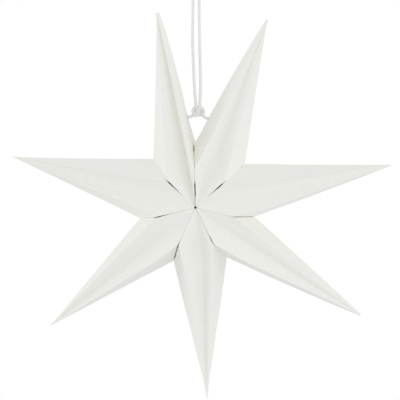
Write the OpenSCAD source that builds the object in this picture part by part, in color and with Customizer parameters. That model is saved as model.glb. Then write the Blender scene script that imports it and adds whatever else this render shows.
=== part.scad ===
// Seven-pointed paper star, hung by a knotted cord loop.
// Each point is folded from one sheet: two front panels, two back panels and four side panels
// run to its tip, and narrow glue flaps along its inner edge join it to its neighbours.
// The star opens like a fan from the seam between its two upper points. That seam isn't glued:
// the hanging cord holds it closed.
// The origin is the inside top of the cord loop. X runs to the right, Z up, and the front faces -Y.

/* [Star] */
// Usual distance from the star's centre to a tip
reach = 150; // [140:1:165]
// Distance from the centre to the notch between two points
notch_r = 47; // [44:0.5:50]
// Distance from the centre to the bend where the front and side panels meet
bend_r = 30; // [27:0.5:33]
// Height of that bend above the star's middle plane
bend_h = 39; // [30:0.5:44]
// Height of the sunken centre above the middle plane
centre_h = 30; // [22:0.5:32]

/* [Paper] */
// Thickness of the paper
paper = 0.3; // [0.2:0.05:0.4]
// Width of the glue flaps
flap_w = 6; // [4:0.5:8]
// Width left open at the unglued seam
opening = 0.6; // [0.4:0.2:1.6]
// How far the bends at the unglued seam stand clockwise of its notch, in degrees
opening_lean = 4; // [2:0.5:5]
// How far the soft valley folds are rounded out
valley_lift = 1.4; // [0:0.1:2]

/* [Directions of the tips] */
// Upper left point, in degrees from the right, anticlockwise, as for all of them
upper_left_dir = 102.5; // [101:0.5:104]
// Left point
left_dir = 166; // [164:0.5:168]
// Lower left point
lower_left_dir = 219.5; // [217:0.5:222]
// Bottom point
bottom_dir = 272.5; // [270:0.5:275]
// Lower right point
lower_right_dir = 326; // [324:0.5:328]
// Right point
right_dir = 372; // [370:0.5:374]
// Upper right point
upper_right_dir = 429.5; // [428:0.5:431]

/* [Directions of the seams] */
// Unglued seam between the two upper points
opening_dir = 94; // [92:0.5:96]
// Seam between the upper left and left points
seam_1_dir = 135; // [133:0.5:137]
// Seam between the left and lower left points
seam_2_dir = 193.5; // [191:0.5:196]
// Seam between the lower left and bottom points
seam_3_dir = 246; // [244:0.5:248]
// Seam between the bottom and lower right points
seam_4_dir = 298; // [296:0.5:300]
// Seam between the lower right and right points
seam_5_dir = 348; // [346:0.5:350]
// Seam between the right and upper right points
seam_6_dir = 401.5; // [399:0.5:403]

/* [Cord] */
// Thickness of the cord
cord_d = 2.5; // [2:0.1:2.8]
// Diameter of the holes punched for it
hole_d = 3.2; // [3:0.1:4]
// How far up the side fold the holes are, as a share of the fold
hole_at = 0.2; // [0.18:0.01:0.22]

/* [Hidden] */

// The star's centre hangs this far below the inside top of the loop, and a little to its right
drop = 172;
star_x = 2;
// The folds would meet this far past the blunt tip
tip_overrun = 2.5;
// Radius of the small hole in the middle, where the seven points meet
core_r = 1.2;
// Where the shoulder of a soft valley fold lies, as a share of the way from the centre to the bend
shoulder = 0.3;
// The valley is sharp at the seam and fully rounded from this share of the way to the tip
round_from = 0.12;
// The paper is pressed solid from this share of the way to the tip
solid_from = 0.92;
// Width of the flap's pointed end at the centre
flap_end_w = 0.5;

tip_dirs = [upper_left_dir, left_dir, lower_left_dir, bottom_dir, lower_right_dir, right_dir,
            upper_right_dir];
seam_dirs = [opening_dir, seam_1_dir, seam_2_dir, seam_3_dir, seam_4_dir, seam_5_dir, seam_6_dir,
             opening_dir + 360];
// Folded by hand, the points differ a little in length, and the notches in depth
tip_more = [0, -1.5, -0.5, 1, 0.5, 0, 0.5];
notch_more = [0, 2.7, 0, 1.2, -0.5, -2.7, 0.7, 0];

// The cord's route as [x, z], from the stop knot in the upper left point, out of its hole,
// through the tie knot, round the loop and back to the stop knot in the upper right point
cord_route = [
    [-13, -104.5], [-10.5, -104.5], [-7.4, -104.5], [-4.6, -104.4], [-2.2, -103], [-0.9, -99.8],
    [-0.3, -95.5], [-0.6, -90], [-1.1, -85], [-1.5, -78], [-1.8, -70], [-2.1, -62], [-2.5, -54],
    [-2.7, -46], [-2.6, -38], [-2.5, -30], [-2.4, -22], [-2.4, -17], [-3, -12], [-4.2, -8],
    [-5, -4], [-4.4, -1.2], [-2.6, 0.6], [0, 1.25], [2.6, 0.6], [4.4, -1.2], [5, -4], [4.2, -8],
    [3, -12], [2.4, -17], [2.4, -22], [2.4, -30], [2.6, -38], [2.7, -46], [2.9, -54], [3.1, -62],
    [3.3, -70], [3.4, -78], [3.3, -85], [3, -90], [2.8, -95], [3.2, -98.7], [4.4, -102],
    [6.6, -104.6], [9.6, -105.7], [12.6, -105.9], [16, -105.9]
];
cord_sides = 8;
// The knots' middles as [x, z], and their sizes
tie_knot_at = [1.5, -99.9];
tie_knot_size = [11, 9.5, 9];
stop_left_at = [-11, -104.5];
stop_right_at = [14.5, -105.9];
stop_knot_size = [5, 6.5, 6.5];
knot_faces = 24;

paper_color = "#f2f0ea";
cord_color = "#e6e4dc";

function unit(v) = v / norm(v);

// Profile of a seam from the front centre to the back centre, as [distance out, height]
function seam_profile(s) =
    let (
        bend = [bend_r, bend_h],
        centre = [core_r, centre_h],
        fold = centre + shoulder * (bend - centre),
        back = [for (p = [bend, fold, centre]) [p.x, -p.y]]
    )
    concat([centre, fold, bend, [notch_r + notch_more[s], 0]], back);

function flip(list) = [for (i = [len(list) - 1:-1:0]) list[i]];

// A place on seam s, moved side times half the opening off the seam's own plane. The unglued seam
// leans over from its notch to its bends.
function on_seam(s, side, p) =
    let (
        unglued = s == 0 || s == 7,
        lean = unglued ? opening_lean * min(1, abs(p.y) / bend_h) : 0,
        a = seam_dirs[s] - lean,
        off = unglued ? side * opening / 2 : 0
    )
    [star_x + p.x * cos(a) - off * sin(a), -p.y, p.x * sin(a) + off * cos(a) - drop];

// Direction square to seam s, into the point on that side
function into_point(s, side) = side * [-sin(seam_dirs[s]), 0, cos(seam_dirs[s])];

// A ring has the clockwise seam from front to back, then the other seam from back to front
function ring_of(k, profile_a, profile_b) = concat(
    [for (p = profile_a) on_seam(k, 1, p)],
    [for (p = flip(profile_b)) on_seam(k + 1, -1, p)]
);

// The profile moved inwards by the width of the flap, which tapers to the centre
function inset(profile) = [
    for (i = [0:len(profile) - 1])
        let (
            before = unit(profile[max(i, 1)] - profile[max(i, 1) - 1]),
            after = unit(profile[min(i, len(profile) - 2) + 1] - profile[min(i, len(profile) - 2)]),
            n1 = [before.y, -before.x],
            n2 = [after.y, -after.x],
            w = (i == 0 || i == len(profile) - 1) ? flap_end_w : flap_w
        )
        profile[i] + w * (n1 + n2) / (1 + n1 * n2)
];

function tip_of(k) =
    let (r = reach + tip_more[k] + tip_overrun)
    [star_x + r * cos(tip_dirs[k]), 0, r * sin(tip_dirs[k]) - drop];

// How far each corner of the ring is lifted where its valley fold is rounded
lift_shares = [1, 0.35, 0, 0, 0, -0.35, -1];
lifts = [for (s = concat(lift_shares, flip(lift_shares))) [0, -s * valley_lift, 0]];

// Where the paper's inner face lies from each corner of the ring
function inner_shift(ring, tip) =
    let (
        n = len(ring),
        normals = [for (i = [0:n - 1]) unit(cross(ring[(i + 1) % n] - ring[i], tip - ring[i]))]
    )
    [for (i = [0:n - 1])
        let (a = normals[(i + n - 1) % n], b = normals[i])
        -paper * (a + b) / (1 + a * b)];

// The ring moved a share of the way to the tip, with its valley folds rounded
function ring_at(ring, tip, share) =
    [for (i = [0:len(ring) - 1]) tip + (1 - share) * (ring[i] + lifts[i] - tip)];

// Where the panels' inner faces meet the flaps' inner faces
function inner_edge(k, ring, tip, shift) =
    let (half = len(ring) / 2)
    [for (i = [0:len(ring) - 1])
        let (
            n = i < half ? into_point(k, 1) : into_point(k + 1, -1),
            along = unit(tip - ring[i])
        )
        ring[i] + shift[i] + along * (paper - shift[i] * n) / (along * n)];

function point_rings(k) =
    let (
        edge_a = seam_profile(k),
        edge_b = seam_profile(k + 1),
        outer = ring_of(k, edge_a, edge_b),
        flap = ring_of(k, inset(edge_a), inset(edge_b)),
        half = len(edge_a),
        flap_in = [for (i = [0:len(flap) - 1])
            flap[i] + paper * (i < half ? into_point(k, 1) : into_point(k + 1, -1))],
        tip = tip_of(k),
        shift = inner_shift(outer, tip),
        tip_share = 1 - tip_overrun / norm(tip - [star_x, 0, -drop])
    )
    [
        ring_at(outer, tip, tip_share),
        ring_at(outer, tip, round_from),
        outer,
        flap,
        flap_in,
        inner_edge(k, outer, tip, shift),
        ring_at(outer, tip, round_from) + shift,
        ring_at(outer, tip, solid_from) + shift
    ];

// A closed skin over a stack of rings. The first and last ring are closed by crossing from one
// half of the ring to the other.
module skin(rings) {
    n = len(rings[0]);
    last = (len(rings) - 1) * n;
    sides = [
        for (r = [0:len(rings) - 2], i = [0:n - 1])
            let (a = r * n + i, b = r * n + (i + 1) % n)
            each [[a, b, b + n], [a, b + n, a + n]]
    ];
    first_cap = [
        for (i = [0:n / 2 - 2])
            each [[i, n - 1 - i, n - 2 - i], [i, n - 2 - i, i + 1]]
    ];
    last_cap = [for (f = first_cap) [last + f[0], last + f[2], last + f[1]]];
    polyhedron([for (r = rings) each r], concat(sides, first_cap, last_cap));
}

// One folded point, from its blunt tip to its glue flaps
module folded_point(k) {
    color(paper_color) skin(point_rings(k));
}

// The hole for the cord, through the side fold next to the unglued seam
module cord_hole(k, side) {
    seam = side > 0 ? k : k + 1;
    notch = on_seam(seam, side, [notch_r + notch_more[seam], 0]);
    translate(notch + hole_at * (tip_of(k) - notch))
        rotate([0, 90, 0]) cylinder(h = 8, d = hole_d, center = true, $fn = 24);
}

module point_upper_left() {
    difference() {
        folded_point(0);
        cord_hole(0, 1);
    }
}

module point_left() {
    folded_point(1);
}

module point_lower_left() {
    folded_point(2);
}

module point_bottom() {
    folded_point(3);
}

module point_lower_right() {
    folded_point(4);
}

module point_right() {
    folded_point(5);
}

module point_upper_right() {
    difference() {
        folded_point(6);
        cord_hole(6, -1);
    }
}

// A tube swept along the route, with a ring square to the route at each of its points
module cord_tube(d) {
    last = len(cord_route) - 1;
    rings = [
        for (i = [0:last])
            let (
                along = unit(cord_route[min(i + 1, last)] - cord_route[max(i - 1, 0)]),
                across = [-along.y, 0, along.x],
                at = [cord_route[i].x, 0, cord_route[i].y]
            )
            [for (j = [0:cord_sides - 1])
                let (a = (j + 0.5) * 360 / cord_sides)
                at + d / 2 * (cos(a) * across + sin(a) * [0, 1, 0])]
    ];
    skin(rings);
}

module hanging_cord() {
    color(cord_color) cord_tube(cord_d);
}

module knot(at, size) {
    translate([at.x, 0, at.y]) resize(size) sphere(d = size.x, $fn = knot_faces);
}

// The overhand knot that ties both strands together
module tie_knot() {
    color(cord_color) difference() {
        knot(tie_knot_at, tie_knot_size);
        cord_tube(cord_d);
    }
}

// The knots that keep the cord's ends inside the two upper points
module stop_knot_left() {
    color(cord_color) difference() {
        knot(stop_left_at, stop_knot_size);
        cord_tube(cord_d);
    }
}

module stop_knot_right() {
    color(cord_color) difference() {
        knot(stop_right_at, stop_knot_size);
        cord_tube(cord_d);
    }
}

point_upper_left();
point_left();
point_lower_left();
point_bottom();
point_lower_right();
point_right();
point_upper_right();
hanging_cord();
tie_knot();
stop_knot_left();
stop_knot_right();
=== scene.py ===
# %% [markdown]
# A white paper advent star, made in Blender round the packed model of its pieces.
#
# The real star is seven hollow points of folded paper, glued side by side like a fan. The packed
# model gives each piece its place and size. This script makes the paper and the cord as they
# look: folds that are slightly round, panels that are not quite flat, and a cord of three strands.
#
# Light matters most on such an object. White paper sends on nearly all the light that it gets, so
# in the deep notches it goes from panel to panel many times. Blender follows four such bounces
# unless it is told otherwise, and the notches would come out grey. Twelve make them as light as
# they are.

# %% The packed model
import math

import bmesh
import bpy
from mathutils import Matrix, Vector


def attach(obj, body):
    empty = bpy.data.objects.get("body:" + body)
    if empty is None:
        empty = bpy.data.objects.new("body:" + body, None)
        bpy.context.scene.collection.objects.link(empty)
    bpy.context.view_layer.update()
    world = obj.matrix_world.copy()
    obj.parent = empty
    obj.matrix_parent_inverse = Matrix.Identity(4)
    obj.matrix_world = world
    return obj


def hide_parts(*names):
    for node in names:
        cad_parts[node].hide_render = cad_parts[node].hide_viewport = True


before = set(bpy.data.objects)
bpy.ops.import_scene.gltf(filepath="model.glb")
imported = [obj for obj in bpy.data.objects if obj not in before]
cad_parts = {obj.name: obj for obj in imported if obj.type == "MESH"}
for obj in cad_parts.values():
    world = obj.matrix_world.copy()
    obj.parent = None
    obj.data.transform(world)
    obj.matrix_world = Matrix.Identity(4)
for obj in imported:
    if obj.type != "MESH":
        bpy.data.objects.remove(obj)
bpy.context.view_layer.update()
MM = 0.001
scene = bpy.context.scene
scene.view_settings.view_transform = "Standard"
scene.cycles.diffuse_bounces = 12
print("pieces in the packed model:", sorted(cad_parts))

# %% [markdown]
# The camera comes first. It stands a little to the right of the star and a little above it, ten
# times as far away as the star's points are long, so the perspective is weak. Those few degrees
# decide how wide each side panel shows, so the angles are worth finding before anything is made.

# %% Camera
REACH = 150 * MM
DROP = 172 * MM
STAR_X = 2 * MM
STAR_MIDDLE = Vector((STAR_X, 0, -DROP))

SENSOR = 36
PICTURE_SIDE = 400
PIXELS_PER_METRE = 1294.6
CAMERA_AZIMUTH = math.radians(4.7)
CAMERA_ELEVATION = math.radians(4.43)
CAMERA_DISTANCE = 10 * REACH
# The star's middle lies this many pixels left of the picture's middle, and below it
MIDDLE_LEFT = 1.3
MIDDLE_BELOW = 4.4

towards_camera = Vector((
    math.sin(CAMERA_AZIMUTH) * math.cos(CAMERA_ELEVATION),
    -math.cos(CAMERA_AZIMUTH) * math.cos(CAMERA_ELEVATION),
    math.sin(CAMERA_ELEVATION),
))
turned = towards_camera.to_track_quat("Z", "Y")
right, up = turned @ Vector((1, 0, 0)), turned @ Vector((0, 1, 0))
aim = STAR_MIDDLE + (MIDDLE_LEFT * right + MIDDLE_BELOW * up) / PIXELS_PER_METRE

camera_data = bpy.data.cameras.new("camera")
camera_data.sensor_width = SENSOR
camera_data.lens = PIXELS_PER_METRE * CAMERA_DISTANCE / PICTURE_SIDE * SENSOR
camera = bpy.data.objects.new("camera", camera_data)
scene.collection.objects.link(camera)
camera.location = aim + CAMERA_DISTANCE * towards_camera
camera.rotation_mode = "QUATERNION"
camera.rotation_quaternion = turned
scene.camera = camera
print("lens", round(camera_data.lens, 1), "mm, from", [round(x, 3) for x in camera.location])

# %% [markdown]
# Materials are written as sums. Wire holds one output of a node, and adding or multiplying two
# wires adds the Math node that does it, so a mask reads like a formula. Every other node comes
# from its one method, node.

# %% Shader sums
class Wire:
    """An output of a shader node, which can be added and multiplied."""

    def __init__(self, socket):
        self.socket = socket

    def node(self, kind, settings=None, inputs=None, output=0):
        """A new node with these settings and inputs, given as values or wires."""
        tree = self.socket.id_data
        made = tree.nodes.new(kind)
        for name, value in (settings or {}).items():
            setattr(made, name, value)
        for name, value in (inputs or {}).items():
            if isinstance(value, Wire):
                tree.links.new(value.socket, made.inputs[name])
            else:
                made.inputs[name].default_value = value
        return Wire(made.outputs[output])

    def maths(self, operation, first, second, clamp=False):
        """A new Math node that works on these two values or wires."""
        settings = {"operation": operation, "use_clamp": clamp}
        return self.node("ShaderNodeMath", settings, {0: first, 1: second})

    def __add__(self, other):
        return self.maths("ADD", self, other)

    def __radd__(self, other):
        return self.maths("ADD", other, self)

    def __mul__(self, other):
        return self.maths("MULTIPLY", self, other)

    def __rmul__(self, other):
        return self.maths("MULTIPLY", other, self)

    def clamped(self):
        """The same value, held between 0 and 1."""
        return self.maths("MULTIPLY", self, 1.0, clamp=True)


def new_material(name):
    """A material with its main shader, and a wire that carries the place on the piece."""
    material = bpy.data.materials.new(name)
    material.use_nodes = True
    shader = material.node_tree.nodes["Principled BSDF"]
    place = material.node_tree.nodes.new("ShaderNodeTexCoord").outputs["Object"]
    return material, shader, Wire(place)


def feed(shader, name, wire):
    """Links a wire to a socket of the main shader."""
    shader.id_data.links.new(wire.socket, shader.inputs[name])


def mix_colours(factor, first, second):
    """A colour between two others, as a Mix node gives it."""
    inputs = {"Factor": factor, "A": first, "B": second}
    return factor.node("ShaderNodeMix", {"data_type": "RGBA"}, inputs, output="Result")


print("methods of a wire:", ", ".join(name for name in vars(Wire) if not name.startswith("_")))

# %% [markdown]
# The cord is three cotton strands, each twisted round the others. Its path is the route that the
# packed model gives it, a smooth curve through points in millimetres: out of the upper left
# point, through the knot, up and round the loop, and back down through the knot into the upper
# right point. The loop ends just above the picture. A strand is a circle carried along the path
# while it turns round it, so the light catches the lay of the cord as it does on a real one.

# %% Cord route
CORD_D = 2.5 * MM
ROUTE = [
    (-13, -104.5), (-10.5, -104.5), (-7.4, -104.5), (-4.6, -104.4), (-2.2, -103), (-0.9, -99.8),
    (-0.3, -95.5), (-0.6, -90), (-1.1, -85), (-1.5, -78), (-1.8, -70), (-2.1, -62), (-2.5, -54),
    (-2.7, -46), (-2.6, -38), (-2.5, -30), (-2.4, -22), (-2.4, -17), (-3, -12), (-4.2, -8),
    (-5, -4), (-4.4, -1.2), (-2.6, 0.6), (0, 1.25), (2.6, 0.6), (4.4, -1.2), (5, -4), (4.2, -8),
    (3, -12), (2.4, -17), (2.4, -22), (2.4, -30), (2.6, -38), (2.7, -46), (2.9, -54), (3.1, -62),
    (3.3, -70), (3.4, -78), (3.3, -85), (3, -90), (2.8, -95), (3.2, -98.7), (4.4, -102),
    (6.6, -104.6), (9.6, -105.7), (12.6, -105.9), (16, -105.9),
]


def smooth(a, b, c, d, t):
    """The share t of the way from b to c on a smooth curve through a, b, c and d."""
    return 0.5 * (2 * b + (c - a) * t + (2 * a - 5 * b + 4 * c - d) * t**2
                  + (3 * b - a - 3 * c + d) * t**3)


def with_ends(points):
    """The points and one more beyond each end, in line with the last two."""
    return [2 * points[0] - points[1], *points, 2 * points[-1] - points[-2]]


def smooth_line(points, step):
    """Points about a step apart on the smooth curve through the given ones."""
    more = with_ends(points)
    line = []
    for a, b, c, d in zip(more, more[1:], more[2:], more[3:]):
        parts = max(1, round((c - b).length / step))
        line += [smooth(a, b, c, d, i / parts) for i in range(parts)]
    return [*line, points[-1]]


cord_line = smooth_line([Vector((x, 0, z)) * MM for x, z in ROUTE], 0.6 * MM)
cord_length = sum((b - a).length for a, b in zip(cord_line, cord_line[1:]))
print("cord length in its route:", round(cord_length, 4), "m")

# %% [markdown]
# To carry a circle along a line, its plane has to be known at each place. The direction along the
# line comes from the places before and after. The direction across it is taken over from the
# last place and made square again, so that no ring turns over, however the line bends.

# %% Directions along a line
def line_frames(line):
    """At each point of a line, the direction along it and two directions across it."""
    frames = []
    side = None
    for before, after in zip([line[0], *line], [*line[1:], line[-1]]):
        along = (after - before).normalized()
        if side is None:
            side = along.orthogonal().normalized()
        side = (side - side.dot(along) * along).normalized()
        frames.append((along, side, along.cross(side)))
    return frames


print("places along the cord:", len(line_frames(cord_line)))

# %% [markdown]
# Each strand is one circle, extruded along the line ring by ring, while it turns round it. The
# same function makes the turns of the knots, from other lines. A curve with a round bevel would
# be quicker, but it gives one smooth tube and not three strands. Extruding adds its edges and
# faces in another order in each run, so they are sorted by their vertices in the end.

# %% Strands
STRANDS = 3
STRAND_SIDES = 8
# The radius of a strand as a share of the cord's diameter: more than a quarter, so they overlap
STRAND_SHARE = 0.33
TWIST_LENGTH = 7.5 * MM


def only(kind, items):
    """Those of the items that are vertices, edges or faces, as kind says."""
    return [item for item in items if isinstance(item, kind)]


def strand_places(line, strand, offset):
    """Where each ring of a strand goes, at this distance from the line."""
    places = []
    length = 0.0
    previous = line[0]
    for p, (along, side, across) in zip(line, line_frames(line)):
        length += (p - previous).length
        previous = p
        turn = 2 * math.pi * (length / TWIST_LENGTH + strand / STRANDS)
        out = math.cos(turn) * side + math.sin(turn) * across
        axes = Matrix((side, across, along)).transposed().to_4x4()
        places.append(Matrix.Translation(p + offset * out) @ axes @ Matrix.Rotation(turn, 4, "Z"))
    return places


def put_in_order(bm):
    """Sorts the edges and the faces of a mesh by their vertices."""
    bm.verts.index_update()
    for parts in (bm.edges, bm.faces):
        ordered = sorted(parts, key=lambda part: sorted(v.index for v in part.verts))
        for i, part in enumerate(ordered):
            part.index = i
        parts.sort()


def add_rope(bm, line, diameter):
    """Adds three twisted strands that follow a line to a mesh."""
    strand_r = STRAND_SHARE * diameter
    for strand in range(STRANDS):
        places = strand_places(line, strand, diameter / 2 - strand_r)
        start = bmesh.ops.create_circle(bm, segments=STRAND_SIDES, radius=strand_r, cap_ends=True)
        rim = list(start["verts"][0].link_faces[0].edges)
        bmesh.ops.transform(bm, matrix=places[0], verts=start["verts"])
        for before, now in zip(places, places[1:]):
            made = bmesh.ops.extrude_edge_only(bm, edges=rim)["geom"]
            rim = only(bmesh.types.BMEdge, made)
            verts = only(bmesh.types.BMVert, made)
            bmesh.ops.transform(bm, matrix=now @ before.inverted(), verts=verts)
        bmesh.ops.contextual_create(bm, geom=rim)
    bmesh.ops.recalc_face_normals(bm, faces=bm.faces)
    put_in_order(bm)


print("a strand is", round(2 * STRAND_SHARE * CORD_D / MM, 2), "mm thick")

# %% [markdown]
# Every piece becomes an object in the same way. The object itself stays at the origin, and its
# place is in its mesh, as it is with the pieces of the packed model. So a pattern in the
# object's own space runs on from piece to piece, and nothing slides when a piece is moved.

# %% Finished pieces
def piece_from(bm, name, material):
    """A finished object from a mesh, placed in the scene and riding on the star."""
    mesh = bpy.data.meshes.new(name)
    bm.to_mesh(mesh)
    bm.free()
    mesh.shade_smooth()
    piece = bpy.data.objects.new(name, mesh)
    scene.collection.objects.link(piece)
    mesh.materials.append(material)
    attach(piece, "root")
    return piece


# %% [markdown]
# The cord is matt white cotton, a little greyer than the paper. Fine noise stands for its fibres.
# It varies the colour by a few hundredths and feeds a weak bump, because more would show as
# speckles at this distance.

# %% Cord material
def cotton():
    """Matt cotton, with fibres in its colour, roughness and bump."""
    material, shader, place = new_material("cotton_cord")
    fibres = place.node("ShaderNodeTexNoise", {}, {"Vector": place, "Scale": 2600.0, "Detail": 3.0})
    clouds = place.node("ShaderNodeTexNoise", {}, {"Vector": place, "Scale": 160.0, "Detail": 2.0})
    shade = (0.6 * fibres + 0.4 * clouds).clamped()
    pale, dark = (0.94, 0.942, 0.935, 1), (0.89, 0.892, 0.885, 1)
    feed(shader, "Base Color", mix_colours(shade, dark, pale))
    feed(shader, "Roughness", 0.85 + 0.1 * fibres)
    bump = {"Strength": 0.3, "Distance": 0.08 * MM, "Height": fibres}
    feed(shader, "Normal", place.node("ShaderNodeBump", {}, bump))
    shader.inputs["Specular IOR Level"].default_value = 0.3
    return material


cotton_material = cotton()
print("cord material:", cotton_material.name)

# %% [markdown]
# The whole hanging cord is one piece, from the stop knot in one point to that in the other. It
# takes the place of the plain tube of the packed model.

# %% Hanging cord
bm = bmesh.new()
add_rope(bm, cord_line, CORD_D)
hanging_cord = piece_from(bm, "cord", cotton_material)
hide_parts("hanging_cord")
print("cord faces:", len(hanging_cord.data.polygons))

# %% [markdown]
# On the real star both strands are tied in one overhand knot, which shows as a large loop on the
# left and a small one on the right. A knot could be built from the cord's own path, but from a
# step away only its turns are seen. So it is a closed path of its own round the strands, through
# ten listed places, with the same three strands laid along it.

# %% Turns of a knot
# Places along the turns: across to the right, away from the front and up
KNOT_TURNS = [
    (0.4, 2.0, 2.8), (-2.6, 0.8, 3.0), (-4.0, -0.4, 0.4), (-2.6, -1.8, -2.6), (0.2, -2.8, -1.8),
    (0.6, -3.0, 1.6), (2.6, -1.4, 2.6), (3.7, 0.2, 0.4), (2.6, 1.2, -2.0), (0, 2.4, -1.2),
]
STEPS_PER_TURN = 9


def knot_line(middle, size):
    """A closed line through the turns of the knot, which fills a box of this size."""
    turns = [Vector(p) for p in KNOT_TURNS]
    line = []
    for i in range(len(turns)):
        four = [turns[(i + k) % len(turns)] for k in (-1, 0, 1, 2)]
        line += [smooth(*four, step / STEPS_PER_TURN) for step in range(STEPS_PER_TURN)]
    line.append(line[0].copy())
    low = [min(p[k] for p in line) for k in range(3)]
    high = [max(p[k] for p in line) for k in range(3)]
    return [middle + Vector(((p[k] - low[k]) / (high[k] - low[k]) - 0.5) * size[k]
                            for k in range(3)) for p in line]


print("places along a knot:", len(KNOT_TURNS) * STEPS_PER_TURN)

# %% [markdown]
# The same turns serve for the tie knot in front and for the two stop knots, which are tied in
# the single cord inside the points and never show. Each is stretched to its own outer size. The
# line through its turns fills a box that is smaller than that by the rope's own thickness.

# %% Three knots
TIE_KNOT = Vector((1.5, 0, -100.1)) * MM
TIE_KNOT_SIZE = (10.6, 9.4, 9.2)
TIE_ROPE_D = 4.1 * MM
STOP_KNOT_LEFT = Vector((-11, 0, -104.5)) * MM
STOP_KNOT_RIGHT = Vector((14.5, 0, -105.9)) * MM
STOP_KNOT_SIZE = (4.9, 6.4, 6.4)
STOP_ROPE_D = 1.8 * MM


def knot(name, node, middle, size, rope_d):
    """A knot of this outer size in millimetres, tied in a rope of this diameter."""
    bm = bmesh.new()
    inner = Vector(size) * MM - Vector((rope_d,) * 3)
    add_rope(bm, knot_line(middle, inner), rope_d)
    piece = piece_from(bm, name, cotton_material)
    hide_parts(node)
    return piece


tie_knot = knot("knot_tie", "tie_knot", TIE_KNOT, TIE_KNOT_SIZE, TIE_ROPE_D)
stop_left = knot("knot_left", "stop_knot_left", STOP_KNOT_LEFT, STOP_KNOT_SIZE, STOP_ROPE_D)
stop_right = knot("knot_right", "stop_knot_right", STOP_KNOT_RIGHT, STOP_KNOT_SIZE, STOP_ROPE_D)
print("knots:", ", ".join(piece.name for piece in (tie_knot, stop_left, stop_right)))

# %% [markdown]
# Each point is one sheet, folded so that two front panels, two back panels and four side panels
# run to its tip. Seen from the front, the two front panels meet in a valley, and a side panel
# slopes away from each of their outer edges, the ridges. Where a panel ends towards the centre,
# a narrow flap is folded inwards and glued to the flap of the next point.
#
# So a seam between two points has five corners: the front centre, the front bend, the notch, and
# the back bend and centre. The star was opened by hand, so its tips and seams aren't evenly
# spread. The seam between the upper two points isn't glued: it is where the fan closes, and its
# bends stand a few degrees beside its notch. The numbers are those of the packed model, apart
# from two that were measured again: the radius of the hole in the centre is 0.25 mm smaller, and
# the unglued seam lies up to 0.8 mm further left.

# %% Sizes of the seams
# How far out the notches, bends and centre corners lie, and how far forward the last two
NOTCH_R = 47 * MM
BEND_R = 30 * MM
BEND_H = 39 * MM
CORE_R = 0.95 * MM
CENTRE_H = 30 * MM
# The width of the unglued seam, and of a flap along its length and at the centre
OPENING = 0.6 * MM
FLAP_W = 6 * MM
FLAP_END_W = 0.5 * MM
# The direction of each seam in degrees, and how much further out than usual its notch lies, in mm
SEAM_DIRS = [95, 135, 193.5, 246, 298, 348, 401.5, 454.4]
NOTCH_MORE = [0, 2.7, 0, 1.2, -0.5, -2.7, 0.7, 0]
# The first and last direction are the two sides of the seam that isn't glued
OPEN_SEAM = (0, 7)
FRONT_BENDS_DIR = 90
BACK_BENDS_DIR = 91.5
print("seams between", len(SEAM_DIRS) - 1, "points, notches",
      [round(NOTCH_R / MM + more, 1) for more in NOTCH_MORE[:-1]], "mm out")

# %% [markdown]
# A seam lies in a plane through the star's axis. So its corners are first written in that plane,
# as distance out and height, and turned into their place in the end. The inner edge of a flap is
# the same outline moved inwards, each corner along the line that halves its angle, as the offset
# tool of a drawing program does it.

# %% Corners of the seams
def seam_outline(seam):
    """The corners of a seam from the front centre to the back, as (distance out, height)."""
    notch = NOTCH_R + NOTCH_MORE[seam] * MM
    front = [(CORE_R, CENTRE_H), (BEND_R, BEND_H)]
    return [Vector(p) for p in [*front, (notch, 0), (BEND_R, -BEND_H), (CORE_R, -CENTRE_H)]]


def narrowed(outline):
    """The outline moved inwards by the width of the flap, which tapers to the centre."""
    moved = []
    for i, p in enumerate(outline):
        before = (outline[max(i, 1)] - outline[max(i, 1) - 1]).normalized()
        last = min(i, len(outline) - 2)
        after = (outline[last + 1] - outline[last]).normalized()
        n1, n2 = Vector((before.y, -before.x)), Vector((after.y, -after.x))
        width = FLAP_END_W if i in (0, len(outline) - 1) else FLAP_W
        moved.append(p + width * (n1 + n2) / (1 + n1.dot(n2)))
    return moved


def on_seam(seam, side, p):
    """The place of an outline's corner, on the sheet at side 1 or side -1 of a seam."""
    lean, off = 0, 0
    if seam in OPEN_SEAM:
        bends_dir = FRONT_BENDS_DIR if p.y > 0 else BACK_BENDS_DIR
        lean = (SEAM_DIRS[seam] % 360 - bends_dir) * min(1, abs(p.y) / BEND_H)
        off = side * OPENING / 2
    a = math.radians(SEAM_DIRS[seam] - lean)
    x = p.x * math.cos(a) - off * math.sin(a)
    z = p.x * math.sin(a) + off * math.cos(a)
    return STAR_MIDDLE + Vector((x, -p.y, z))


def both_seams(number, shape):
    """The corners of a point's inner edge, round from one front centre to the other."""
    first = [on_seam(number, 1, p) for p in shape(seam_outline(number))]
    second = [on_seam(number + 1, -1, p) for p in shape(seam_outline(number + 1))]
    return first + second[::-1]


seam_length = sum((b - a).length for a, b in zip(seam_outline(0), seam_outline(0)[1:]))
print("length of the unglued seam:", round(seam_length / MM, 1), "mm")
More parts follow.
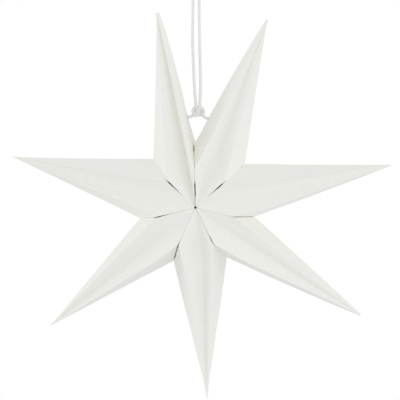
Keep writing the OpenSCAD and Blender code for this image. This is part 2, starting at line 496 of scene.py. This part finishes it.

# %% [markdown]
# No two points of a folded star are alike. On the real one, the valleys of some points are sharp
# and those of others soft, panels bow in or out a little, and creases wander. All of that changes
# how the light falls on a panel, and it is most of what the eye sees on a white object. So each
# point has its own row of numbers. They were set after a fit to how bright the panels are had
# shown which way each one bows. They go in steps of half a millimetre, apart from the
# side folds, which go in tenths because they make the star's outline.

# %% Points and creases
# For each point: the direction of its tip in degrees, and then in millimetres what it is longer
# than the usual reach, how far its creases run out of line, from side fold to side fold, and how
# far its front would stand out from flat panels if the point didn't get narrower. The last is
# given at the ridge, the panel's middle, the valley, the panel's middle and the ridge, for the
# end at the centre and for the tip. It shrinks with the point's width, to 4.2 mm at most
POINTS = {
    "upper_left": {
        "tip_dir": 102.5, "tip_more": 0, "creases": (-0.7, 0, -0.5, -0.5, -3.2),
        "base": (-2, -1, -4, 3.5, 1), "tip": (2, 2, -3.5, -2, 2.5)},
    "left": {
        "tip_dir": 166, "tip_more": -1.5, "creases": (-0.3, -1.5, 1.5, 1, 0.7),
        "base": (-1.5, 0.5, 2, -2, 1.5), "tip": (2, 0, -2.5, -3.5, 5)},
    "lower_left": {
        "tip_dir": 219.5, "tip_more": -0.5, "creases": (-0.2, 1.5, -1, 0, 0.2),
        "base": (1, 1.5, 5.5, 0, -0.5), "tip": (-1, 2, -0.5, 0, 1)},
    "bottom": {
        "tip_dir": 272.5, "tip_more": 1, "creases": (0.1, -0.5, 3.5, 1.5, 0),
        "base": (-3, -2, 2.5, -1.5, -2.5), "tip": (0, 1.5, 5, 2.5, 0)},
    "lower_right": {
        "tip_dir": 326, "tip_more": 0.5, "creases": (0.3, -0.5, -1.5, -1.5, -0.9),
        "base": (-4, -1, 2, 0.5, 1), "tip": (-4, 6.5, 5, 1, 1)},
    "right": {
        "tip_dir": 372, "tip_more": 0, "creases": (-0.5, -0.5, -0.5, -2.5, -0.6),
        "base": (1, -1.5, 1.5, -0.5, -2), "tip": (0.5, -3, -0.5, -0.5, -0.5)},
    "upper_right": {
        "tip_dir": 429.5, "tip_more": 0.5, "creases": (1.6, -1, 0, 0, 0.7),
        "base": (0, -4, 3, -1, 0), "tip": (-4, -3.5, 2.5, 7, 3.5)},
}
# How much of its bow a side fold has at places along it: little near the notch
EDGE_BOW = [
    (0, 0), (0.1, 0.1), (0.2, 0.45), (0.3, 0.75), (0.45, 0.95), (0.6, 1), (0.85, 1), (1, 0.6),
]
# Valleys and ridges are furthest out of line at this share of the way to the tip
KINK = 0.2
print("points:", ", ".join(POINTS))

# %% [markdown]
# The glue holds the flaps only in places, so the sheets of a seam stand a little apart between
# them, and the dark slits that show there draw the star's middle. A slit could be painted as a
# dark line, but then it would look wrong from any other side. Here the sheets are moved apart,
# to 1.1 mm at the widest place, and what shows is the space between the flaps, whose darker
# paper adds painted shade.

# %% Slits
# How far apart the two sheets of each seam stand, in millimetres, at places along it: 0 is the
# centre, 1 the bend and 2 the notch. Below 0 they run into each other a little
OPENING_PARTING = [
    (0, 0.2), (0.1, 0.2), (0.22, 0.5), (0.3, 1), (0.62, 1.1), (0.65, 0.45), (0.85, 0.2), (1.2, 0),
    (1.45, -0.1), (1.62, -0.2), (1.72, 0.2), (1.8, 0.3), (1.9, 0), (2, -0.3),
]
PARTINGS = [
    OPENING_PARTING,
    [(0, 0), (0.4, 0), (0.6, 0.45), (0.92, 1.1), (1, 0.35), (1.04, 0.05), (2, 0)],
    [(0, 0.05), (0.4, 0.15), (0.85, 0.6), (0.97, 1), (1.02, 0.4), (1.15, 0.1), (2, 0)],
    [(0, 0.1), (0.9, 0.15), (0.98, 0.3), (1.04, 1), (1.2, 0.6), (1.6, 0.6), (1.78, 0.9), (1.86, 0.2),
     (2, 0)],
    [(0, 0.15), (0.5, 0.25), (0.8, 0.4), (0.97, 0.8), (1.02, 0.2), (1.15, 0.05), (2, 0)],
    [(0, 0.05), (0.5, 0.05), (0.95, 0.1), (1.02, 0.38), (1.8, 0.34), (2, 0.1)],
    [(0, 0), (0.35, 0), (0.6, 0.5), (0.9, 1.1), (1, 0.25), (1.04, 0), (1.8, 0), (1.87, 0.3), (1.94, 0),
     (2, 0)],
    OPENING_PARTING,
]
print("widest slits in mm:", [max(width for _, width in parting) for parting in PARTINGS])

# %% [markdown]
# The paper is matt and white with a slightly warm tone. Two noises give it what plain white lacks:
# large soft clouds, as paper has where its pulp lies thicker, and fine fibres, which only feed a
# weak bump. Both are laid through the object's own space, so they run on over the folds, as
# they do on one sheet. The glue flaps get a darker, greyer paper, which is painted shade for the
# slits between them. Two white flaps so close together would light each other up, and the slits
# between them would be pale.

# %% Paper material
def paper(name, white, off_white):
    """A matt paper with soft clouds between two colours and fine fibres."""
    material, shader, place = new_material(name)
    fine = {"Vector": place, "Scale": 900.0, "Detail": 4.0, "Roughness": 0.6}
    fibres = place.node("ShaderNodeTexNoise", {}, fine)
    clouds = place.node("ShaderNodeTexNoise", {}, {"Vector": place, "Scale": 55.0, "Detail": 2.0})
    feed(shader, "Base Color", mix_colours(clouds, off_white, white))
    feed(shader, "Roughness", 0.86 + 0.1 * clouds)
    bump = {"Strength": 0.12, "Distance": 0.04 * MM, "Height": fibres}
    feed(shader, "Normal", place.node("ShaderNodeBump", {}, bump))
    shader.inputs["Specular IOR Level"].default_value = 0.25
    return material


paper_material = paper("white_paper", (0.97, 0.97, 0.938, 1), (0.958, 0.957, 0.925, 1))
# The flaps' paper is darker as painted shade, for the slits between the flaps.
flap_shade_material = paper("painted_shade_paper", (0.6, 0.59, 0.56, 1), (0.55, 0.54, 0.51, 1))
print("papers:", paper_material.name, "and", flap_shade_material.name)

# %% [markdown]
# A point is made with operators, in the order in which a sheet would be folded. First comes the
# ring of corners that is its inner edge. The corners are beveled, so that every fold is a narrow
# round strip, and the edges between them are divided, so that the panels can bow. Two numbers on
# every vertex say where it is: across, which corner of the ring it came from, and along, its
# share of the way to the tip. All the later bowing and parting is worked out from these two.

# %% Inner edge of a point
FOLD_ROUND = 0.4 * MM
CORNERS = 10
# Corners where folds start. The other four lie at the front and the back centre
SHARP_CORNERS = [1, 2, 3, 6, 7, 8]
# Edges longer than this belong to panels and are divided
PANEL_EDGE = 10 * MM
PANEL_CUTS = 11


def inner_edge(bm, corners, across):
    """The closed inner edge of a point, with round corners and divided sides."""
    ring = [bm.verts.new(p) for p in corners]
    for i, v in enumerate(ring):
        v[across] = i
    for i in range(CORNERS):
        bm.edges.new((ring[i], ring[(i + 1) % CORNERS]))
    bmesh.ops.bevel(bm, geom=[ring[i] for i in SHARP_CORNERS], offset=FOLD_ROUND, segments=2,
                    profile=0.5, affect="VERTICES", clamp_overlap=True, material=-1)
    sides = [e for e in bm.edges if e.calc_length() > PANEL_EDGE]
    bmesh.ops.subdivide_edges(bm, edges=sides, cuts=PANEL_CUTS)
    return list(bm.edges)


print("corners of an inner edge:", CORNERS, "and", len(SHARP_CORNERS), "of them start a fold")

# %% [markdown]
# Extruding the ring towards the tip, a bit at a time, and scaling it about the tip each time
# gives the eight panels. The rings lie closer together near the centre, where the paper bends
# most. A point is open towards the centre, and such a shape has no clear outside: recalculating
# the normals makes them agree, but all of them may point inwards. So the foremost face is looked
# at afterwards, because it has to look to the front.

# %% Panels of a point
# The rings' shares of the way to the tip, and how far beyond the tip's round end the folds meet
STATIONS = [0.02, 0.05, 0.1, 0.16, 0.25, 0.34, 0.44, 0.54, 0.64, 0.74, 0.83, 0.9, 0.95]
TIP_OVERRUN = 2.5 * MM


def draw_out(bm, rim, apex, tip_share, along):
    """Extrudes the inner edge to the tip, ring by ring, and closes it there."""
    share = 0.0
    for next_share in [*STATIONS, tip_share]:
        made = bmesh.ops.extrude_edge_only(bm, edges=rim)["geom"]
        verts = only(bmesh.types.BMVert, made)
        rim = only(bmesh.types.BMEdge, made)
        scale = (1 - next_share) / (1 - share)
        bmesh.ops.scale(bm, vec=(scale,) * 3, space=Matrix.Translation(-apex), verts=verts)
        share = next_share
        for v in verts:
            v[along] = share
    bmesh.ops.edgeloop_fill(bm, edges=rim)


def face_outwards(bm):
    """Turns the faces of an open point outwards."""
    bmesh.ops.recalc_face_normals(bm, faces=bm.faces)
    foremost = min(bm.faces, key=lambda face: face.calc_center_median().y)
    if foremost.normal.y > 0:
        bmesh.ops.reverse_faces(bm, faces=bm.faces)


print("rings of a point:", len(STATIONS) + 2)

# %% [markdown]
# A glue flap is the same sheet, folded inwards at the seam. So the flaps are one more extrusion
# of the inner edge, this time towards the edge that was moved inwards. The fold between panel
# and flap is rounded last of all, after the panels have their form.

# %% Glue flaps
SEAM_ROUND = 0.2 * MM
# What along says at the inner edge of a flap
ON_FLAP = -1
# Keeps a corner's number from being rounded down
NEARLY_NOTHING = 1e-4


def add_flaps(bm, rim, corners, flap_corners, across, along):
    """Extrudes the inner edge of the panels to the inner edge of the flaps."""
    made = bmesh.ops.extrude_edge_only(bm, edges=rim)["geom"]
    inward = [inner - outer for inner, outer in zip(flap_corners, corners)]
    for v in only(bmesh.types.BMVert, made):
        i = int(v[across] + NEARLY_NOTHING) % CORNERS
        t = min(max(v[across] - i, 0), 1)
        v.co += inward[i].lerp(inward[(i + 1) % CORNERS], t)
        v[along] = ON_FLAP


print("flaps:", round(FLAP_W / MM, 1), "mm wide")

# %% [markdown]
# The sheets come apart where the slits are. The move is strongest at the seam itself and fades
# out along the point within a few hundredths of its length.

# %% Sheets of a seam
PARTED_SHARE = 0.04


def between(knots, x):
    """The height at x of straight lines drawn through these knots."""
    for (x0, y0), (x1, y1) in zip(knots, knots[1:]):
        if x <= x1:
            return y0 + (y1 - y0) * (x - x0) / (x1 - x0)
    return knots[-1][1]


def part_sheets(bm, number, across, along):
    """Moves the edges of a point away from its seams where the two sheets stand apart."""
    for v in bm.verts:
        u = v[across]
        # The corners at the back centre, 4 and 5, and at the front centre, 9 and 0, stay closed
        if not 0 <= v[along] < PARTED_SHARE or 4 <= u <= 5 or u > 9:
            continue
        seam, side, place = (number, 1, u) if u < 4 else (number + 1, -1, 9 - u)
        # The back has the slits of the front
        place = place if place <= 2 else 4 - place
        width = between(PARTINGS[seam], place) * MM
        if seam in OPEN_SEAM:
            width -= OPENING
        a = math.radians(SEAM_DIRS[seam])
        push = side * width / 2 * (1 - v[along] / PARTED_SHARE)
        v.co += push * Vector((-math.sin(a), 0, math.cos(a)))


print("sheets part within", round(PARTED_SHARE * REACH / MM, 1), "mm of a seam")

# %% [markdown]
# Bowing a panel means moving its vertices a little towards the eye or away from it, by an amount
# that follows one smooth curve on each side of the valley. A sculpt brush would do the same by
# hand. Curves through five heights are easier to correct, and the back gets the same ones. The
# valley and the ridges are also moved sideways, but only on the front, because nothing shows how
# they wander on the back. The side folds belong to both, and they make the star's outline.

# %% Bowed panels
# A bow starts from nothing at the seam and is full at this share of the way to the tip
BOW_START = 0.12


def place_across(u):
    """Where a corner number lies across: notch -3, ridge -2, valley -1 to 0, ridge 1, notch 2."""
    if u < 2:
        return u
    return 4 - u if u < 7 else u - 10


def height_across(heights, w):
    """How far the surface stands out, from heights at five places, ridge to ridge."""
    if w < -2:
        return heights[0] * (w + 3)
    if w > 1:
        return heights[4] * (2 - w)
    if -1 <= w <= 0:
        return heights[2]
    half, t = (heights[:3], w + 2) if w < 0 else (heights[2:], w)
    i = min(int(2 * t), 1)
    return smooth(*with_ends(half)[i:i + 4], 2 * t - i)


def shape_panels(bm, facts, across, along, sideways):
    """Bows the panels and bends the creases a little, as folded paper does."""
    notch_1, ridge_1, valley_shift, ridge_2, notch_2 = facts["creases"]
    for v in bm.verts:
        a = v[along]
        if a <= 0:
            continue
        w = place_across(v[across])
        edge = between(EDGE_BOW, a)
        fold = min(a / KINK, (1 - a) / (1 - KINK)) if v.co.y < 0 else 0
        creases = [(-3, notch_1 * edge), (-2, ridge_1 * fold), (-1, valley_shift * fold),
                   (0, valley_shift * fold), (1, ridge_2 * fold), (2, notch_2 * edge)]
        v.co += between(creases, w) * MM * sideways
        base, tip = height_across(facts["base"], w), height_across(facts["tip"], w)
        rise = (base * (1 - a) + tip * a) * (1 - a) * min(1, a / BOW_START) * MM
        v.co.y += -rise if v.co.y < 0 else rise


heights = [height for facts in POINTS.values() for height in (*facts["base"], *facts["tip"])]
print("heights at full width:", min(heights), "to", max(heights), "mm")

# %% [markdown]
# The end of the bottom point is pressed flatter than the others, over more than half its length.
# Scaling it towards its own middle line, by a factor that changes with the distance from the
# tip, does that without touching how it was folded.

# %% Pinched tip
# How wide that end is against a plain one, at distances from the tip in millimetres
PINCH = [
    (0, 0.9), (3, 0.85), (8, 0.68), (16, 0.72), (23, 0.75), (31, 0.82), (39, 0.88), (50, 0.93),
    (70, 0.95), (100, 1),
]


def pinch_tip(bm, apex, along, reach):
    """Thins the end of a point towards its middle line."""
    out = (apex - STAR_MIDDLE).normalized()
    for v in bm.verts:
        a = v[along]
        from_end = (1 - a) * reach - TIP_OVERRUN
        if a > 0 and from_end < PINCH[-1][0] * MM:
            middle = STAR_MIDDLE + (v.co - STAR_MIDDLE).dot(out) * out
            v.co = middle + (v.co - middle) * between(PINCH, from_end / MM)


print("narrowest part of the pinched tip:", min(width for _, width in PINCH), "of a plain one")

# %% [markdown]
# The cord goes in through a punched hole in the side fold of each upper point. A boolean could
# drill it, but the sheet has no thickness yet. Planes round the hole's edge cut the faces near
# it, and what lies inside all of them is deleted.

# %% Cord holes
HOLE_D = 3.2 * MM
HOLE_SIDES = 12
# How far up the side fold a hole lies, and how far from it faces may be cut
HOLE_AT = 0.2
CUT_WITHIN = 8 * MM
# The corner of the inner edge at which the holed side fold starts
HOLED = {"upper_left": 2, "upper_right": 7}


def punch_hole(bm, middle):
    """Cuts a round hole through the paper, with its axis to the right."""
    near = [f for f in bm.faces if (f.calc_center_median() - middle).length < CUT_WITHIN]
    geom = list(dict.fromkeys([*near, *(e for f in near for e in f.edges),
                               *(v for f in near for v in f.verts)]))
    for side in range(HOLE_SIDES):
        a = 2 * math.pi * side / HOLE_SIDES
        out = Vector((0, math.cos(a), math.sin(a)))
        cut = bmesh.ops.bisect_plane(bm, geom=geom, plane_co=middle + HOLE_D / 2 * out, plane_no=out)
        geom = cut["geom"]
    inside = []
    for face in only(bmesh.types.BMFace, geom):
        away = face.calc_center_median() - middle
        if math.hypot(away.y, away.z) < HOLE_D / 2:
            inside.append(face)
    bmesh.ops.delete(bm, geom=inside, context="FACES")


print("holes:", round(HOLE_D / MM, 1), "mm wide, in", " and ".join(HOLED))

# %% [markdown]
# A sheet of paper has a thickness, and it shows at the holes and slits. The Solidify modifier
# adds it on the inside, so the outer size stays as folded. It is thinner near the tip, where the
# sheet is pressed flat, which a vertex group tells the modifier. Shading is smooth over a fold
# and sharp wherever two faces meet at more than twelve degrees, so that flat panels look flat.

# %% Thickness of the paper
PAPER = 0.3 * MM
# The share of the thickness that is left at the tip
TIP_THICKNESS = 0.1
SHARP_FOLD = math.radians(12)


def paper_piece(bm, name):
    """The finished object of a folded point, with its white paper, the painted shade of its flaps and
    its thickness.
    """
    piece = piece_from(bm, "paper_" + name, paper_material)
    piece.data.materials.append(flap_shade_material)
    piece.data.set_sharp_from_angle(angle=SHARP_FOLD)
    piece.vertex_groups.new(name="thick")
    thickness = piece.modifiers.new("paper thickness", "SOLIDIFY")
    thickness.thickness = PAPER
    thickness.offset = -1
    thickness.vertex_group = "thick"
    thickness.thickness_vertex_group = TIP_THICKNESS
    return piece


print("paper:", round(PAPER / MM, 2), "mm thick")

# %% [markdown]
# Now the steps come together in their order: the inner edge, the panels, the flaps, the form of
# the panels, the slits, the round fold at the seam and, in two of the points, the hole.

# %% A folded point
def folded_point(number, name, facts):
    """One of the seven points, with its seams, bows, flaps and hole."""
    corners = both_seams(number, lambda outline: outline)
    flap_corners = both_seams(number, narrowed)
    a = math.radians(facts["tip_dir"])
    sideways = Vector((-math.sin(a), 0, math.cos(a)))
    reach = REACH + facts["tip_more"] * MM + TIP_OVERRUN
    apex = STAR_MIDDLE + reach * Vector((math.cos(a), 0, math.sin(a)))

    bm = bmesh.new()
    across = bm.verts.layers.float.new("across")
    along = bm.verts.layers.float.new("along")
    thick = bm.verts.layers.deform.new("thick")
    seam_fold = inner_edge(bm, corners, across)
    draw_out(bm, seam_fold, apex, 1 - TIP_OVERRUN / reach, along)
    face_outwards(bm)
    add_flaps(bm, seam_fold, corners, flap_corners, across, along)
    shape_panels(bm, facts, across, along, sideways)
    if name == "bottom":
        pinch_tip(bm, apex, along, reach)
    part_sheets(bm, number, across, along)
    for v in bm.verts:
        v[thick][0] = 1 - max(0, v[along]) ** 2
    bmesh.ops.bevel(bm, geom=seam_fold, offset=SEAM_ROUND, segments=2, profile=0.5,
                    affect="EDGES", clamp_overlap=True, material=-1)
    if name in HOLED:
        notch = corners[HOLED[name]]
        punch_hole(bm, notch + HOLE_AT * (apex - notch))
    # Flap faces get the darker paper, painted shade for the slits.
    for face in bm.faces:
        if min(v[along] for v in face.verts) < ON_FLAP / 2:
            face.material_index = 1
    piece = paper_piece(bm, name)
    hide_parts("point_" + name)
    return piece


print("points to fold:", len(POINTS))

# %% [markdown]
# The seven points are folded one after the other, round from the upper left one. Each begins at
# the seam with its own number and ends at the next. No two share a mesh, because no two are
# alike.

# %% Seven points
for number, (name, facts) in enumerate(POINTS.items()):
    piece = folded_point(number, name, facts)
    print(piece.name, len(piece.data.polygons), "faces")

# %% [markdown]
# The photograph shows no floor, only white. A plain pale floor lies well below the star, so that
# it sends some light up to it and shows in views from the side.

# %% Floor
FLOOR_DROP = 0.9
FLOOR_HALF = 3.0
bm = bmesh.new()
bmesh.ops.create_grid(bm, x_segments=1, y_segments=1, size=FLOOR_HALF)
bmesh.ops.translate(bm, vec=(0, 0, -FLOOR_DROP), verts=bm.verts)
floor_mesh = bpy.data.meshes.new("floor")
bm.to_mesh(floor_mesh)
bm.free()
floor = bpy.data.objects.new("floor", floor_mesh)
scene.collection.objects.link(floor)
floor_material, floor_shader, _ = new_material("floor")
floor_shader.inputs["Base Color"].default_value = (0.85, 0.85, 0.85, 1)
floor_shader.inputs["Roughness"].default_value = 0.9
floor.data.materials.append(floor_material)
print("the floor lies", FLOOR_DROP, "m below the loop")

# %% [markdown]
# The light is that of a white photo studio: nearly even from all sides, which is the world's
# part. The eye sees the world behind the star as pure white through Light Path, while the star
# is lit by a slightly lower level, so that no panel turns to blank white. More light would make
# the background white too, but it would take the shape out of the paper.

# %% World
WORLD_LIGHT = 0.78
world = bpy.data.worlds.new("studio")
scene.world = world
world.use_nodes = True
background = world.node_tree.nodes["Background"]
rays = world.node_tree.nodes.new("ShaderNodeLightPath")
seen = Wire(rays.outputs["Is Camera Ray"]) + Wire(rays.outputs["Is Glossy Ray"])
seen = (seen + Wire(rays.outputs["Is Transmission Ray"])).clamped()
background.inputs["Color"].default_value = (1, 1, 1, 1)
feed(background, "Strength", WORLD_LIGHT + (1 - WORLD_LIGHT) * seen)
print("the world lights the star at", WORLD_LIGHT, "and shows at 1")

# %% [markdown]
# Three large soft lamps make one side panel of a point lighter than the other. The strongest
# stands on the left. They are four times as large as the star, so no shadow has a hard edge.

# %% Lamps
LAMP_SIDE = 1.2
LAMP_DISTANCE = 2
# Each lamp's name, watts, degrees to the right of the front and degrees up
LAMPS = [("front_right", 3.2, 45, 5), ("left", 4.6, -80, 5), ("right", 1.8, 80, 5)]
for name, watts, azimuth, elevation in LAMPS:
    lamp_data = bpy.data.lights.new(name, "AREA")
    lamp_data.shape = "SQUARE"
    lamp_data.size = LAMP_SIDE
    lamp_data.energy = watts
    lamp = bpy.data.objects.new(name, lamp_data)
    scene.collection.objects.link(lamp)
    a, e = math.radians(azimuth), math.radians(elevation)
    away = Vector((math.sin(a) * math.cos(e), -math.cos(a) * math.cos(e), math.sin(e)))
    lamp.location = STAR_MIDDLE + LAMP_DISTANCE * away
    lamp.rotation_euler = away.to_track_quat("Z", "Y").to_euler()
    print("lamp", name, watts, "W, at", [round(x, 2) for x in lamp.location])

# %% [markdown]
